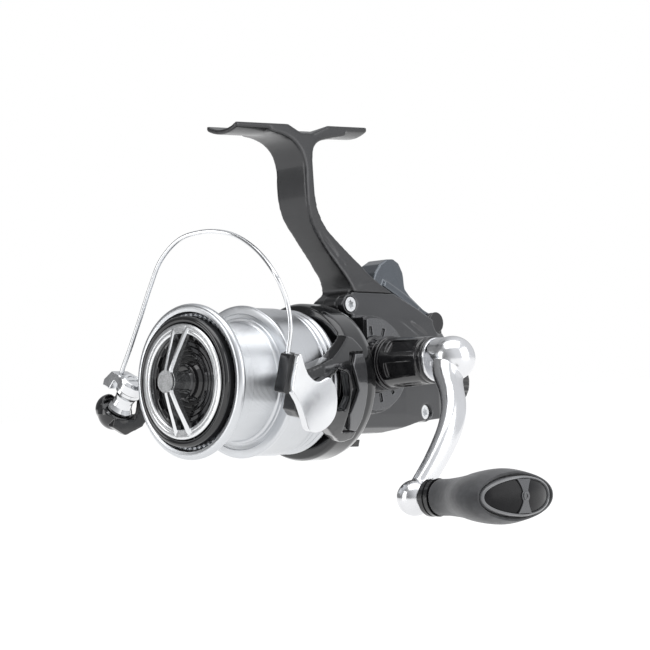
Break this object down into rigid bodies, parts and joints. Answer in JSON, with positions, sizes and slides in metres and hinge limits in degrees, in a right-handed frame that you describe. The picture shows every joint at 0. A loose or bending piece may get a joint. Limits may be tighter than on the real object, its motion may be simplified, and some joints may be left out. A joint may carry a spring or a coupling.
{
  "type": "spinning reel",
  "caption": "Fixed-spool fishing reel with tall foot stem, free-spool lever and rear tension dial, front drag knob, wire bail and folding crank handle",
  "frame": {"origin": "middle of the rod seat on the reel foot", "axes": "+Z out of the foot towards the rod, -Y towards the front of the spool, +X handle side"},
  "size_m": [0.1362, 0.1207, 0.117],
  "materials": {
    "body_paint": "satin",
    "cover_gloss": "gloss",
    "ring_grey": "satin",
    "black_gloss": "gloss",
    "screw_steel": "polished",
    "bearing_steel": "polished",
    "clutch_brass": "satin",
    "shaft_steel": "ground",
    "gear_brass": "machined",
    "arm_alloy": "polished",
    "pin_steel": "satin",
    "knob_rubber": "matte",
    "cap_plastic": "gloss",
    "bush_brass": "satin",
    "rotor_gloss": "gloss",
    "cover_grey": "gloss",
    "bail_chrome": "polished",
    "bail_wire_steel": "polished",
    "gear_plastic": "moulded",
    "slider_zinc": "cast",
    "spool_alloy": "satin anodised",
    "felt": "felt",
    "knob_black": "gloss",
    "polished_alloy": "polished",
    "lever_blue": "gloss"
  },
  "bodies": {
    "frame": {"housing": "body_paint", "side_cover": "cover_gloss", "side_ring": "ring_grey", "neck": "black_gloss", "cover_screws": "screw_steel", "far_cap": "black_gloss", "front_bearing": "bearing_steel", "one_way_clutch": "clutch_brass", "far_bearing": "bearing_steel", "near_bearing": "bearing_steel", "guide_rod": "shaft_steel", "lever_pin": "black_gloss"},
    "crank": {"drive_gear": "gear_brass", "drive_shaft": "shaft_steel", "handle_collar": "black_gloss", "handle_yoke": "arm_alloy", "fold_pin": "pin_steel"},
    "arm": {"handle_arm": "arm_alloy", "knob_shaft": "shaft_steel", "knob_screw": "screw_steel"},
    "grip": {"knob": "knob_rubber", "knob_cap": "cap_plastic", "knob_rings": "black_gloss", "knob_bush": "bush_brass"},
    "rotor": {"rotor": "rotor_gloss", "pinion": "gear_brass", "rotor_nut": "pin_steel", "clutch_race": "shaft_steel", "near_arm_cover": "cover_grey", "far_arm_cover": "cover_grey"},
    "bail": {"bail_cam": "bail_chrome", "bail_lever": "black_gloss", "bail_screws": "screw_steel", "bail_wire": "bail_wire_steel", "wire_root": "bail_chrome", "roller_bush": "bush_brass", "roller_screw": "screw_steel"},
    "roller": {"line_roller": "bail_chrome"},
    "cross_wind": {"worm_shaft": "shaft_steel", "worm_gear": "gear_plastic"},
    "carriage": {"slider": "slider_zinc", "slider_pawl": "pin_steel"},
    "shaft": {"main_shaft": "shaft_steel", "shaft_clips": "pin_steel", "drag_plate": "pin_steel"},
    "spool": {"spool": "spool_alloy", "spool_bush": "bush_brass", "drag_washers": "felt", "click_ring": "pin_steel"},
    "drag": {"drag_knob": "knob_black", "drag_ring": "polished_alloy", "drag_bar": "polished_alloy", "drag_button": "polished_alloy"},
    "feeder": {"feeder_gear": "gear_brass"},
    "switch": {"feeder_lever": "lever_blue"},
    "dial": {"tension_dial": "black_gloss"},
    "stop": {"stop_lever": "black_gloss"}
  },
  "joints": [
    {"name": "handle_turn", "type": "hinge", "parent": "frame", "child": "crank", "pos_m": [0, 0.01525, -0.07031], "axis": [1, 0, 0], "continuous": true},
    {"name": "handle_fold", "type": "hinge", "parent": "crank", "child": "arm", "pos_m": [0.0424, 0.01525, -0.07031], "axis": [0, 0.766, -0.6428], "range_deg": [0, 40]},
    {"name": "knob_spin", "type": "hinge", "parent": "arm", "child": "grip", "pos_m": [0.0551, -0.01612, -0.10769], "axis": [1, 0, 0], "continuous": true},
    {"name": "rotor_spin", "type": "hinge", "parent": "frame", "child": "rotor", "pos_m": [0, 0.015, -0.075], "axis": [0, 0.9986, -0.0523], "continuous": true},
    {"name": "bail_flip", "type": "hinge", "parent": "rotor", "child": "bail", "pos_m": [0, -0.02544, -0.07288], "axis": [0.9848, -0.0091, -0.1734], "range_deg": [0, 110]},
    {"name": "roller_spin", "type": "hinge", "parent": "bail", "child": "roller", "pos_m": [-0.03163, -0.04362, -0.0757], "axis": [0.6561, 0.0395, 0.7537], "continuous": true},
    {"name": "worm_spin", "type": "hinge", "parent": "frame", "child": "cross_wind", "pos_m": [-0.0056, 0.01474, -0.07999], "axis": [0, 0.9986, -0.0523], "continuous": true},
    {"name": "spool_stroke", "type": "slide", "parent": "frame", "child": "carriage", "axis": [0, -0.9986, 0.0523], "range_m": [0, 0.011]},
    {"name": "shaft_spin", "type": "hinge", "parent": "carriage", "child": "shaft", "pos_m": [0, 0.015, -0.075], "axis": [0, 0.9986, -0.0523], "continuous": true},
    {"name": "drag_slip", "type": "hinge", "parent": "shaft", "child": "spool", "pos_m": [0, 0.015, -0.075], "axis": [0, 0.9986, -0.0523], "continuous": true},
    {"name": "drag_turn", "type": "hinge", "parent": "shaft", "child": "drag", "pos_m": [0, 0.015, -0.075], "axis": [0, 0.9986, -0.0523], "range_deg": [-720, 180]},
    {"name": "feeder_spin", "type": "hinge", "parent": "frame", "child": "feeder", "pos_m": [0, 0.015, -0.075], "axis": [0, 0.9986, -0.0523], "continuous": true},
    {"name": "feeder_switch", "type": "hinge", "parent": "frame", "child": "switch", "pos_m": [0, 0.05191, -0.05851], "axis": [-1, 0, 0], "range_deg": [0, 28]},
    {"name": "tension_turn", "type": "hinge", "parent": "frame", "child": "dial", "pos_m": [0, 0.015, -0.075], "axis": [0, 0.9986, -0.0523], "range_deg": [-150, 150]},
    {"name": "stop_toggle", "type": "hinge", "parent": "frame", "child": "stop", "pos_m": [0, 0.01428, -0.08878], "axis": [0, 0.9986, -0.0523], "range_deg": [-18, 18]}
  ],
  "couplings": [
    {"joint": "rotor_spin", "follows": "handle_turn", "ratio": 5.2},
    {"joint": "worm_spin", "follows": "handle_turn", "ratio": -4},
    {"joint": "feeder_spin", "follows": "shaft_spin", "ratio": 1}
  ]
}
